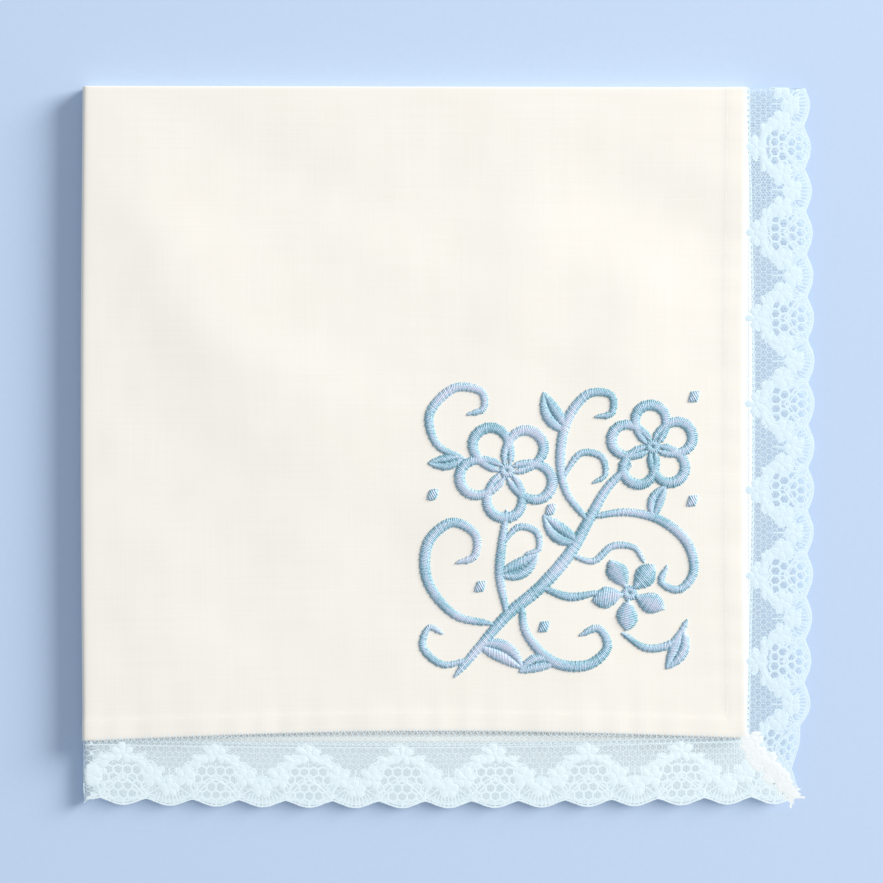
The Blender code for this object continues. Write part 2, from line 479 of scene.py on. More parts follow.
def threads(paths, width, height, sides=4):
    """Threads along paths, an array of (threads, points, 3).

    A path's points are across, depth and lift. Round each point lies an ellipse of this
    width and height, square to the path as seen from above; both ends are closed. width
    may differ from point to point. Returns points, faces and UV: U runs along the thread
    in millimetres, from another start for each thread, and V goes from 0 to 1 and back
    round it, so that it has no seam.
    """
    count, length = paths.shape[:2]
    heading = np.gradient(paths[..., :2], axis=1)
    heading /= np.maximum(np.linalg.norm(heading, axis=-1, keepdims=True), 1e-9)
    beside = np.stack([-heading[..., 1], heading[..., 0]], axis=-1)[:, :, None, :]
    angles = 2 * np.pi * np.arange(sides) / sides
    half = np.broadcast_to(np.asarray(width) / 2, (count, length))[..., None]
    flat = paths[:, :, None, :2] + beside * (half * np.cos(angles))[..., None]
    lift = paths[:, :, None, 2] + height / 2 * np.sin(angles)
    points = np.concatenate([flat, lift[..., None]], axis=-1).reshape(-1, 3)

    steps = np.linalg.norm(np.diff(paths, axis=1), axis=-1)
    travel = np.concatenate([np.zeros((count, 1)), np.cumsum(steps, axis=1)], axis=1)
    travel = travel + 7.3 * np.arange(count)[:, None]
    u = np.broadcast_to(travel[..., None], (count, length, sides))
    v = np.broadcast_to(np.abs(1 - angles / np.pi), (count, length, sides))
    uv = np.stack([u, v], axis=-1).reshape(-1, 2)

    number = np.arange(count * length * sides).reshape(count, length, sides)
    caps = np.concatenate([number[:, 0, ::-1], number[:, -1]])
    return points, tube_walls(number).tolist() + caps.tolist(), uv


def joined(parts):
    """Several (points, faces, uv) made into one."""
    points, faces, uv, first = [], [], [], 0
    for part_points, part_faces, part_uv in parts:
        points.append(part_points)
        faces += [[corner + first for corner in face] for face in part_faces]
        uv.append(part_uv)
        first += len(part_points)
    return np.concatenate(points), faces, np.concatenate(uv)


def twisted_thread_group():
    """The twist of a thread: slanted ridges, a sine of the way along it plus the way
    round it, and a fine fuzz of noise."""
    group, given, result = new_group(
        "twisted_thread", {"Thread": None, "Turn": 0.6}, ["Height", "Fuzz"]
    )
    place = put(group, "SeparateXYZ", {0: given.outputs["Thread"]})
    turns = calculate(group, "DIVIDE", place.outputs["X"], given.outputs["Turn"])
    slant = calculate(group, "ADD", turns, place.outputs["Y"])
    ridge = calculate(group, "SINE", calculate(group, "MULTIPLY", slant, 2 * math.pi))
    fuzz = mottled(group, given.outputs["Thread"], 3.0, 3.0)
    height = calculate(group, "MULTIPLY_ADD", ridge, 0.35, fuzz)
    group.links.new(height, result.inputs["Height"])
    group.links.new(fuzz, result.inputs["Fuzz"])
    return group


def soft_fibre_group():
    """Light spreads inside a loose thread, so its sides differ less in tone than those of
    a hard rod: the normal's two sideways parts are made smaller by the share Roundness."""
    group, given, result = new_group("soft_fibre", {"Roundness": 0.4}, ["Normal"])
    normal = put(group, "TexCoord").outputs["Normal"]
    share = given.outputs["Roundness"]
    scale = put(group, "CombineXYZ", {0: share, 1: share, 2: 1.0}).outputs[0]
    flatter = put(group, "VectorMath", {0: normal, 1: scale}, operation="MULTIPLY")
    in_world = {"vector_type": "NORMAL", "convert_from": "OBJECT", "convert_to": "WORLD"}
    level = put(group, "VectorTransform", {0: flatter.outputs[0]}, **in_world)
    group.links.new(level.outputs[0], result.inputs["Normal"])
    return group


def thread_material(name, dark, light, turn, bump_height, roundness=1.0, **values):
    """Thread of a colour between dark and light, with its twist as bump. A loose thread's
    roundness is less than 1, for its soft sides."""
    material, tree, shader = new_material(name, **values)
    along = put(tree, "UVMap", uv_map="cloth").outputs["UV"]
    twist = put(tree, "Group", {"Thread": along, "Turn": turn}, node_tree=twisted_thread)
    colour_by(tree, shader, twist.outputs["Fuzz"], (0.3, dark), (0.7, light))
    bump = bump_by(tree, shader, twist.outputs["Height"], 0.5, bump_height)
    if roundness < 1:
        soft = put(tree, "Group", {"Roundness": roundness}, node_tree=soft_fibre)
        tree.links.new(soft.outputs["Normal"], bump.inputs["Normal"])
    return material


def crisp(piece):
    """Edges that turn more than SHARP_EDGE aren't shaded round, so that the top of a flat
    thread or petal takes nothing of the tone of its cut ends and underside."""
    piece.data.set_sharp_from_angle(angle=SHARP_EDGE)


def on_cloth(along, out, lies_across):
    """Across and depth of a place along a pair of hems, and out from the middle."""
    return (along, out) if lies_across else (out, along)


def sewn_on(name, parts, material, middle=(0.0, 0.0)):
    """A piece of threads that are given on (across, depth, lift) about a middle, and that
    are folded with the linen."""
    points, faces, uv = joined(parts)
    across, depth, lift = (points + (*middle, 0.0)).T
    return new_piece(name, folded(across, depth, lift), faces, uv, material)


def hem_stitching():
    """Short threads, arched as half an ellipse, end to end round the square."""
    arch = np.linspace(0, 1, 5)
    rows = []
    for half_along, half_out, lies_across in HEMS:
        end = half_along - HEM_STITCH_LINE
        starts = np.arange(-end, end - STITCH_LENGTH, STITCH_SPACING)
        along = starts[:, None] + STITCH_LENGTH * arch
        lift = STITCH_LIFT + STITCH_ARCH * np.sqrt(4 * arch * (1 - arch)) + 0 * along
        for side in (-1, 1):
            out = np.full_like(along, side * (half_out - HEM_STITCH_LINE))
            rows.append(np.stack([*on_cloth(along, out, lies_across), lift], axis=-1))
    stitches = threads(np.concatenate(rows), STITCH_THREAD, STITCH_THREAD * STITCH_FLATNESS)
    cotton = thread_material(
        "ivory_sewing_cotton",
        (0.92, 0.90, 0.84),
        (0.96, 0.94, 0.89),
        turn=0.5,
        bump_height=0.00001,
        roundness=0.25,
        Roughness=0.6,
        Sheen_Weight=0.2,
    )
    piece = sewn_on("hem_stitching", [stitches], cotton)
    piece.visible_shadow = False  # it lies sunk in the cloth
    crisp(piece)
    return piece


twisted_thread = twisted_thread_group()
soft_fibre = soft_fibre_group()
hem_stitches = hem_stitching()


# --------------------------------------------------------------------------------------
# The lace: white net lace made on a machine in one long length, with small flowers and
# a corded scalloped edge. It is cut in four, set out from the middle of each side, and
# its heading is whipped to the hem with a zigzag of white thread.

NET_MESH = 1.25  # width of a mesh of the fine net
NET_ROW = 1.08  # from one row of meshes to the next
NET_THREAD, NET_FLATNESS = 0.10, 0.3  # width, and the share of it that is its height
NET_STARTS = -3.05  # where the first row of meshes lies, under the hem
OPEN_MESH = 1.95  # the same for the open net under each heading flower
OPEN_ROW = 1.66
OPEN_THREAD, OPEN_FLATNESS = 0.46, 0.24
SCALLOP_DEPTH = 1.4
EDGE_CORD, EDGE_FLATNESS = 0.36, 0.3
HEADING = 0.55  # from the hem to the heading thread
OPEN_FROM, OPEN_HALF_WIDTH = 4.4, 4.9  # where the open net starts, and half its width
TULLE_STARTS = -3.2  # from the hem, under it
MITRE_LEAN = 16.0  # the tulle's grid leans over this length towards the mitre

# One repeat of the pattern is two scallops: an open one under the heading flower, and a
# closed one between two of those. Petals are placed from the heading flower: along the
# lace, out from the hem, turn in degrees, half length, half width.
HEADING_FLOWER = [
    (0.0, 0.95, 90, 1.10, 0.78),
    (1.25, 1.65, 25, 1.15, 0.78),
    (-1.25, 1.65, 155, 1.15, 0.78),
    (0.85, 3.05, -50, 1.20, 0.80),
    (-0.85, 3.05, 230, 1.20, 0.80),
    (0.0, 2.15, 0, 0.70, 0.65),
]
WINGS = [
    (2.35, 3.45, -20, 1.45, 0.72),
    (3.75, 4.25, -34, 1.50, 0.68),
    (3.70, 3.30, 8, 1.05, 0.55),
]
SIDE_FLOWER = [
    (0.0, -1.25, 95, 1.25, 0.95),
    (1.05, -0.20, 15, 1.15, 0.90),
    (0.50, 1.05, -60, 1.25, 0.92),
    (-0.85, 0.80, 215, 1.20, 0.92),
    (-1.00, -0.50, 165, 1.10, 0.85),
    (0.0, 0.0, 0, 0.75, 0.70),
]
SIDE_FLOWER_AT = (3.5, 7.0)  # from the middle of the closed scallop, and out from the hem
LOW_FLOWER = [
    (0.0, -0.95, 90, 1.10, 0.84),
    (1.05, -0.15, 10, 1.15, 0.82),
    (-1.05, -0.15, 170, 1.15, 0.82),
    (0.65, 0.90, -60, 1.15, 0.84),
    (-0.65, 0.90, 240, 1.15, 0.84),
    (0.0, 0.0, 0, 0.70, 0.65),
]
LOW_FLOWER_AT = 9.1
PETAL_SIZE = 0.88
PETAL_HEIGHT = 0.14
PETAL_UNDERSIDE = 0.03  # how far it reaches below its place
PETAL_SIDES = 12
PETAL_RINGS = (0.42, 0.78, 1.0)  # shares of the petal's size
PETAL_RISES = (0.97, 0.86, 0.55)  # and of its height there

# Straight bars are fanned over each closed scallop, and cords lie beside each heading
# flower: start, end, and how far a half sine swings the cord aside.
FAN_HALF_WIDTH = 3.6
FAN_BARS = 4  # on each side of the middle one
FAN_STEPS = (0.62, 0.85)  # between bars at their inner and at their outer ends
CORD_POINTS = 12
BAR, CORD, INNER_CORD = (0.26, 0.07), (0.34, 0.09), (0.13, 0.04)  # width and height
HEADING_THREAD = (0.16, 0.05)
APEX_CORD = ((0.0, 7.4), (4.7, 11.5), (0.3, -0.3))
VALLEY_CORD = ((5.6, 8.6), (4.75, 11.6), (-0.4, 0.0))


def scalloped(along, first, repeat):
    """Distance from the hem to the lace's edge: arcs that meet in soft valleys, a mean of
    a cosine and of its own absolute value."""
    turn = 2 * np.pi * (along - first) / repeat
    arcs = 0.5 * np.abs(np.cos(turn)) + 0.5 * (0.5 + 0.5 * np.cos(2 * turn))
    return LACE_WIDTH - SCALLOP_DEPTH * (1 - arcs)


def honeycomb(mesh, row, low, high, start):
    """The threads of a net of six-sided meshes, as (threads, 2 ends, 2).

    Each mesh gives three of its threads: its right side and the two that slant from its
    outer point. Every second row is moved by half a mesh.
    """
    columns = np.arange(math.floor(low / mesh) - 1, math.ceil(high / mesh) + 2)
    lines = np.arange(0, math.ceil((LACE_WIDTH - start) / row) + 1)
    line, column = np.meshgrid(lines, columns, indexing="ij")
    x = (column + 0.5 * (line % 2)) * mesh
    w = start + line * row
    half, side = mesh / 2, mesh / math.sqrt(3) / 2
    point = w + row - side
    right = (x + half, w - side, x + half, w + side)
    slant_right = (x, point, x + half, w + side)
    slant_left = (x, point, x - half, w + side)
    kinds = np.stack([right, slant_right, slant_left])
    return np.moveaxis(kinds, 1, -1).reshape(-1, 2, 2)


def unsettled(net, amount):
    """The same net pulled a little out of true by two crossed sine waves."""
    along, out = net[..., 0], net[..., 1]
    shift = [np.sin(5.3 * along + 2.9 * out), np.sin(3.7 * along - 4.1 * out + 1.0)]
    return net + amount * np.stack(shift, axis=-1)


def lifted(places, lift):
    """Flat places with one lift for them all."""
    places = np.asarray(places, float)
    return np.concatenate([places, np.full_like(places[..., :1], lift)], axis=-1)


def petals(table, lift):
    """Domed worked petals. A row is along, out, turn, half length, half width.

    The outline is an egg, an ellipse whose width shrinks towards its inner end, made
    ragged by a wave round it. Three rings rise to the middle, and the underside is flat.
    """
    table = np.asarray(table, float)
    angles = 2 * np.pi * np.arange(PETAL_SIDES) / PETAL_SIDES
    rings, rises = np.array(PETAL_RINGS)[:, None], np.array(PETAL_RISES)[:, None]
    length = rings * np.cos(angles)
    breadth = rings * np.sin(angles) * (1 + 0.22 * np.cos(angles))
    along, out, turn, half_length, half_width = table.T[..., None, None]
    size = PETAL_SIZE * (1 + 0.09 * np.sin(5 * angles + 40 * along))
    x, y = turned(size * half_length * length, size * half_width * breadth, turn)
    up = np.broadcast_to(lift + PETAL_HEIGHT * rises, x.shape)
    shell = np.stack([along + x, out - y, up], axis=-1).reshape(len(table), -1, 3)
    top = lifted(table[:, None, :2], lift + PETAL_HEIGHT)
    bottom = lifted(table[:, None, :2], lift - PETAL_UNDERSIDE)
    points = np.concatenate([top, shell, bottom], axis=1)

    count = points.shape[1]
    ring = 1 + np.arange(count - 2).reshape(-1, PETAL_SIDES)
    after = np.roll(ring, -1, axis=1)
    cap = np.stack([np.zeros_like(ring[0]), after[0], ring[0]], axis=-1)
    base = np.stack([np.full_like(ring[0], count - 1), ring[-1], after[-1]], axis=-1)
    offsets = count * np.arange(len(table))[:, None, None]
    faces = []
    for kind in (tube_walls(ring), cap, base):
        faces += (kind + offsets).reshape(-1, kind.shape[-1]).tolist()
    local_u = np.concatenate([[0], length.ravel(), [0]]) * table[:, 3, None]
    local_v = np.concatenate([[0], breadth.ravel(), [0]]) * table[:, 4, None] * 3
    uv = np.stack([local_u, local_v], axis=-1).reshape(-1, 2)
    return points.reshape(-1, 3), faces, uv


def moved_flower(rows, along, out, turn):
    """A flower's petals moved to a place on the lace, and turned about its middle."""
    rows = np.array(rows, float)
    x, w = turned(rows[:, 0], rows[:, 1], -turn)
    return np.column_stack([along + x, out + w, rows[:, 2] + turn, rows[:, 3:]])


def mirrored(rows):
    """The same petals on the other side of the flower's middle."""
    return [(-x, w, 180 - turn, *size) for x, w, turn, *size in rows]


def repeat_of_petals(repeat):
    """All the petals of one repeat, placed from the heading flower."""
    closed = repeat / 2
    aside, out = SIDE_FLOWER_AT
    return np.concatenate(
        [
            HEADING_FLOWER + WINGS + mirrored(WINGS),
            moved_flower(SIDE_FLOWER, closed - aside, out, 20),
            moved_flower(mirrored(SIDE_FLOWER), closed + aside, out, -20),
            moved_flower(LOW_FLOWER, closed, LOW_FLOWER_AT, 0),
        ]
    )


def tiled(paths, first, repeat, count):
    """The same paths in every repeat along the lace."""
    moved = np.repeat(np.asarray(paths, float)[None], count, axis=0)
    places = first + repeat * (np.arange(count) - 1)
    moved[..., 0] += places.reshape(-1, *([1] * (moved.ndim - 2)))
    return moved.reshape(-1, *moved.shape[2:])


def fine_net(inside, end, first, repeat, net_slip):
    """The fine net up to an end, but for the open net, the fans and what petals cover."""
    net = honeycomb(NET_MESH, NET_ROW, -1.0, end, NET_STARTS)
    net[..., 0] += net_slip
    net = unsettled(net, 0.05)
    along, out = net.mean(axis=1).T
    from_flower = (along - first + repeat / 2) % repeat - repeat / 2
    open_field = (np.abs(from_flower) < OPEN_HALF_WIDTH) & (out > OPEN_FROM)
    from_closed = repeat / 2 - np.abs(from_flower)
    fanned = (from_closed < FAN_HALF_WIDTH) & (out > LOW_FLOWER_AT + 1.0)
    covered = np.zeros(len(net), bool)
    for x, w, _, _, half_width in repeat_of_petals(repeat):
        for lap in (0, -repeat):
            covered |= np.hypot(from_flower - x - lap, out - w) < 0.7 * half_width
    return net[inside(net, 0.25).all(axis=1) & ~open_field & ~fanned & ~covered]


def open_net(inside, first, repeat, count):
    """The open net under each heading flower."""
    net = honeycomb(OPEN_MESH, OPEN_ROW, -6, 6, OPEN_FROM - 0.35)
    along, out = net.mean(axis=1).T
    kept = (np.abs(along) < OPEN_HALF_WIDTH + 0.3) & (out > OPEN_FROM - 0.3)
    net = unsettled(tiled(net[kept], first, repeat, count), 0.08)
    return net[inside(net, 0.12).all(axis=1)]


def straight_bars(inside, first, repeat, count):
    """The fan over each closed scallop, and four bars among the flowers."""
    closed, out = repeat / 2, LOW_FLOWER_AT
    inner_step, outer_step = FAN_STEPS
    bars = [
        [(closed + inner_step * bar, out + 1.1), (closed + outer_step * bar, LACE_WIDTH - 0.2)]
        for bar in range(-FAN_BARS, FAN_BARS + 1)
    ]
    bars += [[(0.0, 4.0), (0.0, 7.4)], [(closed, 5.2), (closed, out - 1.2)]]
    for side in (-1, 1):
        bars.append([(closed + side * 1.9, out), (closed + side * 4.4, out + 1.6)])
    bars = tiled(bars, first, repeat, count)
    bars = bars[inside(bars.mean(axis=1), 0.2)]
    bars[..., 1] = np.minimum(bars[..., 1], scalloped(bars[..., 0], first, repeat) - 0.15)
    return bars


def swung_cords(inside, first, repeat, count):
    """The cords on both sides of each heading flower: a line and a half sine aside."""
    steps = np.linspace(0, 1, CORD_POINTS)
    side_cord = ((4.8, 4.4), (repeat / 2 - FAN_HALF_WIDTH, 6.2), (0.5, -0.4))
    cords = []
    for side in (-1, 1):
        for row in (APEX_CORD, side_cord, VALLEY_CORD):
            start, end, swing = np.array(row) * (side, 1)
            line = start + np.outer(steps, end - start)
            cords.append(line + np.outer(np.sin(np.pi * steps), swing))
    cords = tiled(cords, first, repeat, count)
    return cords[inside(cords.mean(axis=1), 0.2)]


def lace_half(half_hem, first, repeat, net_slip, slope, is_outer):
    """The lace from the middle of a side to its mitre, as parts on (along, out, lift).

    first is the place of its first heading flower, and slope how far the mitre leans
    along the hem for each step out from it. The finest threads are drawn on the outer
    layers only: inside the stack the tulle stands for them.
    """
    count = math.ceil((half_hem + LACE_WIDTH - first) / repeat) + 2

    def inside(place, margin):
        """Whether a place is on this half, within the edge and the mitre."""
        along, out = place[..., 0], place[..., 1]
        kept = (along > -0.3) & (out < scalloped(along, first, repeat) - margin)
        return kept & (along < half_hem + slope * out - 0.4)

    edge_end = half_hem + slope * LACE_WIDTH - 0.8
    along = np.linspace(0, edge_end, int(edge_end / 0.30))
    edge = scalloped(along, first, repeat) - EDGE_CORD / 2
    edge_path = lifted(np.stack([along, edge], axis=-1), 0.02)
    edge_width = EDGE_CORD * (1 + 0.16 * np.sin(along * 8.3) + 0.1 * np.sin(along * 3.1))
    inner_edge = edge - 0.42 - 0.12 * np.sin(along * 6.5)
    inner_path = lifted(np.stack([along, inner_edge], axis=-1), 0.0)

    heading_end = half_hem - 0.2
    along = np.linspace(0, heading_end, int(heading_end / 0.5))
    wavy = HEADING + 0.05 * np.sin(along * 2 * np.pi / NET_MESH)
    heading_path = lifted(np.stack([along, wavy], axis=-1), 0.08)

    random = np.random.default_rng(int(100 * (first + half_hem + net_slip)))
    flowers = tiled(repeat_of_petals(repeat)[:, None, :], first, repeat, count)[:, 0]
    flowers = flowers[inside(flowers[:, :2], 0.5)]
    flowers = flowers * random.normal(1.0, (0, 0, 0.0, 0.08, 0.10), flowers.shape)
    flowers[:, :3] += random.normal(0.0, (0.09, 0.09, 7.0), (len(flowers), 3))

    parts = []
    if is_outer:
        fine = fine_net(inside, half_hem + LACE_WIDTH + 1, first, repeat, net_slip)
        wide = open_net(inside, first, repeat, count)
        bars = straight_bars(inside, first, repeat, count)
        parts = [
            threads(lifted(fine, 0.0), NET_THREAD, NET_THREAD * NET_FLATNESS),
            threads(lifted(wide, 0.0), OPEN_THREAD, OPEN_THREAD * OPEN_FLATNESS),
            threads(lifted(bars, 0.02), *BAR),
        ]
    cords = swung_cords(inside, first, repeat, count)
    return parts + [
        threads(lifted(cords, 0.04), *CORD),
        threads(edge_path[None], edge_width, EDGE_CORD * EDGE_FLATNESS),
        threads(inner_path[None], *INNER_CORD),
        threads(heading_path[None], *HEADING_THREAD),
        petals(flowers, 0.0),
    ]


# The two halves of each side's lace: the way from the middle of the side, how far the
# fine net and the whole pattern have slipped along it, and whether the half lies
# outermost, on top of the stack or under it.
LACE_SIDES = {
    "near": ((1, 0.00, 0.0, True), (-1, 0.55, 0.9, True)),
    "right": ((1, 0.20, 0.6, False), (-1, 0.70, 0.0, True)),
    "far": ((1, 0.35, -0.5, False), (-1, 0.80, 0.5, False)),
    "left": ((1, 0.45, -0.6, False), (-1, 0.95, 0.4, True)),
}
# Set out from the middle of a side: first heading flower, and the length of a repeat.
SET_OUT_ACROSS = (8.2, 19.4)
SET_OUT_DEPTH = (12.75, 17.9)
LACE_SPREAD = 0.10  # how much wider the top layer's right lace is halfway along
CORNER_SPREAD = 0.05  # how much wider its near lace is at the corner
MITRE_DRAW = 0.8  # the side lengths narrow to this share where the mitre draws them in
TULLE_FOLD = (3.2, 16)  # its grid is close as far as this from a fold, in so many cells
TULLE_CELL = 0.8
TULLE_SHARES = (0.0, 0.17, 0.3, 0.5, 0.7, 0.88, 1.0)  # of the way out to the edge cord
TULLE_UNDER_HEM = -0.42  # its lift there
TULLE_LIFT = -0.03


def lace_length(name, side, material, half_of_it):
    """One side's lace: both halves, mirrored about the middle of the side and folded."""
    half_hem, half_out, lies_across = HEMS[0] if side in ("near", "far") else HEMS[1]
    first, repeat = SET_OUT_ACROSS if lies_across else SET_OUT_DEPTH
    outwards = -1 if side in ("near", "left") else 1
    slope = MITRE_DRAW if lies_across else 1.0
    halves = []
    for way, net_slip, slip, is_outer in LACE_SIDES[side]:
        parts = half_of_it(half_hem, first + slip, repeat, net_slip, slope, is_outer)
        points, faces, uv = joined(parts)
        along, out, lift = points.T
        along = way * np.minimum(along, half_hem + slope * out - 0.15)
        hem_share = np.clip(np.abs(along) / half_hem, 0, 1)
        if (side, way) == ("right", -1):
            out = out * (1 + LACE_SPREAD * np.sin(np.pi * hem_share))
        if (side, way) == ("near", 1):
            out = out * (1 + CORNER_SPREAD * hem_share**2)
        if not lies_across:
            drawn_in = smooth_step((np.abs(along) - half_hem + 6) / 10)
            out = out * (1 - (1 - MITRE_DRAW) * drawn_in)
        across, depth = on_cloth(along, outwards * (half_out + out), lies_across)
        if way * outwards * (1 if lies_across else -1) < 0:
            faces = [face[::-1] for face in faces]
        halves.append((folded(across, depth, lift, LACE_BOWS), faces, uv))
    points, faces, uv = joined(halves)
    return new_piece(name, points, faces, uv, material)


def tulle_half(half_hem, first, repeat, net_slip, slope, is_outer):
    """The fine ground between the threads, from the middle of a side to its mitre: a grid
    along the hem and out to the edge cord, whose lines lean over towards the mitre. It is
    the same on outer and on inner layers."""
    close_to, cells = TULLE_FOLD
    near_fold = np.linspace(0.0, close_to, cells + 1)[:-1]
    beyond = np.linspace(close_to, half_hem - 0.15, int(half_hem / TULLE_CELL))
    hem_places = np.concatenate([near_fold, beyond])
    share, hem_place = np.meshgrid(TULLE_SHARES, hem_places, indexing="ij")
    start = half_hem - MITRE_LEAN
    out = TULLE_STARTS + share * (LACE_WIDTH - TULLE_STARTS)
    leaning = half_hem + slope * out - start
    stretched = start + (hem_place - start) * leaning / MITRE_LEAN
    along = np.where(hem_place > start, stretched, hem_place)
    edge = scalloped(along, first, repeat) - EDGE_CORD / 2
    out = TULLE_STARTS + share * (edge - TULLE_STARTS)
    lift = np.where(out < 0, TULLE_UNDER_HEM, TULLE_LIFT)
    points = np.stack([along, out, lift], axis=-1).reshape(-1, 3)
    number = np.arange(along.size).reshape(along.shape)
    return [(points, grid_faces(number.T).tolist(), points[:, :2] + (net_slip, 0.0))]


def tulle_mesh_group():
    """Six-sided meshes: the sum of three cosines a third of a turn apart is highest in
    the middle of each mesh, and the thread lies where it is low. Noise thins it out."""
    group, given, result = new_group("tulle_mesh", {"Cloth": None, "Mesh": 0.6}, ["Thread"])
    cloth = given.outputs["Cloth"]
    total = None
    for turn in (0, 60, 120):
        way = (math.cos(math.radians(turn)), math.sin(math.radians(turn)), 0.0)
        along = put(group, "VectorMath", {0: cloth, 1: way}, operation="DOT_PRODUCT")
        turns = calculate(group, "DIVIDE", along.outputs["Value"], given.outputs["Mesh"])
        angle = calculate(group, "MULTIPLY", turns, 4 * math.pi / math.sqrt(3))
        wave = calculate(group, "COSINE", angle)
        total = wave if total is None else calculate(group, "ADD", total, wave)
    thread = put(
        group,
        "MapRange",
        {"Value": total, "From Min": -1.5, "From Max": 1.2, "To Min": 1.0, "To Max": 0.0},
    )
    unevenness = calculate(group, "MULTIPLY_ADD", mottled(group, cloth, 1.1, 3.0), 0.8, -0.4)
    uneven_thread = calculate(group, "ADD", thread.outputs[0], unevenness)
    group.links.new(uneven_thread, result.inputs["Thread"])
    return group


def lets_light_by(piece):
    """Open net stops hardly any light on its way to the layers below and to the ground, so
    its threads are left out of shadows. The tulle among them stops the little there is."""
    piece.visible_shadow = False
    piece.visible_diffuse = False
    crisp(piece)


def tulle_material(name, colour, least_cover):
    """Sheer white tulle: its meshes let the light through, and so do its thin threads. Its pale
    blue colour is painted light: the blue ground's light seen through the sheer lace. Of the
    light on its way to something else the upper layers stop a smaller share than of the view, and
    the lower ones, which lie close to the ground, a larger one."""
    material, tree, shader = new_material(
        name, Base_Color=(*colour, 1), Roughness=0.7, Specular_IOR_Level=0.2
    )
    cloth = put(tree, "UVMap", uv_map="cloth").outputs["UV"]
    mesh = put(tree, "Group", {"Cloth": cloth, "Mesh": 0.62}, node_tree=tulle_mesh)
    cover = calculate(tree, "MULTIPLY_ADD", mesh.outputs["Thread"], 0.22, least_cover)
    path = put(tree, "LightPath")
    on_its_way = calculate(
        tree, "MAXIMUM", path.outputs["Is Shadow Ray"], path.outputs["Is Diffuse Ray"]
    )
    place = put(tree, "SeparateXYZ", {0: put(tree, "TexCoord").outputs["Object"]})
    let_by = put(
        tree,
        "MapRange",
        {
            "Value": place.outputs["Z"],
            "From Min": 0.0022,
            "From Max": 0.0034,
            "To Min": -1.3,
            "To Max": 0.92,
        },
    )
    kept_back = calculate(tree, "MULTIPLY", on_its_way, let_by.outputs[0])
    stopped = calculate(tree, "SUBTRACT", 1.0, kept_back)
    share = calculate(tree, "MULTIPLY", stopped, cover)
    clear = put(tree, "BsdfTransparent")
    both = put(tree, "MixShader", {0: share, 1: clear.outputs[0], 2: shader.outputs[0]})
    tree.links.new(both.outputs[0], tree.nodes["Material Output"].inputs["Surface"])
    return material


def lace_thread_material(name, dark, light):
    """Bleached white cotton, soft, matt and loosely twisted. Its slight blue is painted light:
    the blue ground's light coming up through the sheer lace.
    """
    return thread_material(
        name,
        dark,
        light,
        turn=0.45,
        bump_height=0.00002,
        roundness=0.5,
        Roughness=0.6,
        Specular_IOR_Level=0.15,
    )


tulle_mesh = tulle_mesh_group()
# Lit and shaded copies of one lace: the two side lengths' thread and tulle are painted darker and
# bluer, and their tulle thinner, as painted shade against the strong key light on the right; the
# near and far ones are painted whiter, as painted light where the key falls weaker and the stack
# shades them.
lace_thread = lace_thread_material(
    "white_lace_thread", (0.76, 0.905, 0.985), (0.86, 0.975, 1.0)
)
side_lace_thread_painted_shade = lace_thread_material(
    "white_lace_thread_painted_shade", (0.64, 0.80, 0.905), (0.755, 0.90, 0.965)
)
tulle = tulle_material("sheer_tulle", (0.82, 0.95, 1.0), 0.30)
side_tulle_painted_shade = tulle_material("sheer_tulle_painted_shade", (0.70, 0.86, 0.985), 0.10)
for side in LACE_SIDES:
    on_side = side in ("right", "left")
    thread, ground = (side_lace_thread_painted_shade, side_tulle_painted_shade) if on_side else (lace_thread, tulle)
    node = "lace_" + side
    net = lace_length(node + "_net", side, thread, lace_half)
    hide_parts(node)
    lets_light_by(net)
    lace_length(node + "_tulle", side, ground, tulle_half)


# --------------------------------------------------------------------------------------
# The joining row: the lace is laid under the hem and whipped to it with fine white thread,
# which runs in a zigzag from the cloth over its edge into the net and back.

WHIP_STEP = 1.25
WHIP_ON_HEM, WHIP_IN_NET = 0.75, 0.50  # how far the zigzag reaches on each side of the edge
WHIP_THREAD, WHIP_FLATNESS = 0.13, 0.45
WHIP_LIFTS = (0.02, 0.22, 0.28)  # in the net, at the edge and on the hem


def joining_row():
    """A zigzag of straight threads over each hem's edge, from corner to corner."""
    rows = []
    random = np.random.default_rng(5)
    for half_along, half_out, lies_across in HEMS:
        starts = np.arange(-half_along + 0.6, half_along - 1.2, WHIP_STEP)
        middles = starts + WHIP_STEP / 2 + random.normal(0, 0.08, starts.shape)
        for side in (-1, 1):
            for low, high in ((starts, middles), (starts + WHIP_STEP, middles)):
                along = np.stack([low, (low + high) / 2, high], axis=-1)
                reach = (WHIP_IN_NET, 0.05, -WHIP_ON_HEM) + random.normal(0, 0.06, along.shape)
                place = on_cloth(along, side * (half_out + reach), lies_across)
                rows.append(np.stack([*place, WHIP_LIFTS + 0 * along], axis=-1))
    zigzag = threads(np.concatenate(rows), WHIP_THREAD, WHIP_THREAD * WHIP_FLATNESS)
    return sewn_on("joining_row", [zigzag], lace_thread)


joining = joining_row()
lets_light_by(joining)


# --------------------------------------------------------------------------------------
# The mitred corners: at each corner two ends of lace are folded back on the slant and
# oversewn with white thread. The folded ends make a thick ridge, and the thread is cut
# off at the tip with its tails left standing.

MITRE_RIDGE_WIDTH = 2.3
MITRE_RIDGE_HEIGHT = 0.12
MITRE_STITCHES = 110
MITRE_STITCH_HALF = 1.1
MITRE_PETALS = 60
MITRE_REACH = (10.0, 12.6)  # of the seam beyond the linen's corner, across and in depth
MITRE_THREAD, TAIL_THREAD = (0.22, 0.09), (0.26, 0.12)  # width and height
# The tails: turn in degrees from the seam, length, and how far each curls aside.
MITRE_TAILS = ((50, 2.7, -0.5), (12, 1.1, 0.3), (-38, 1.8, 0.3))


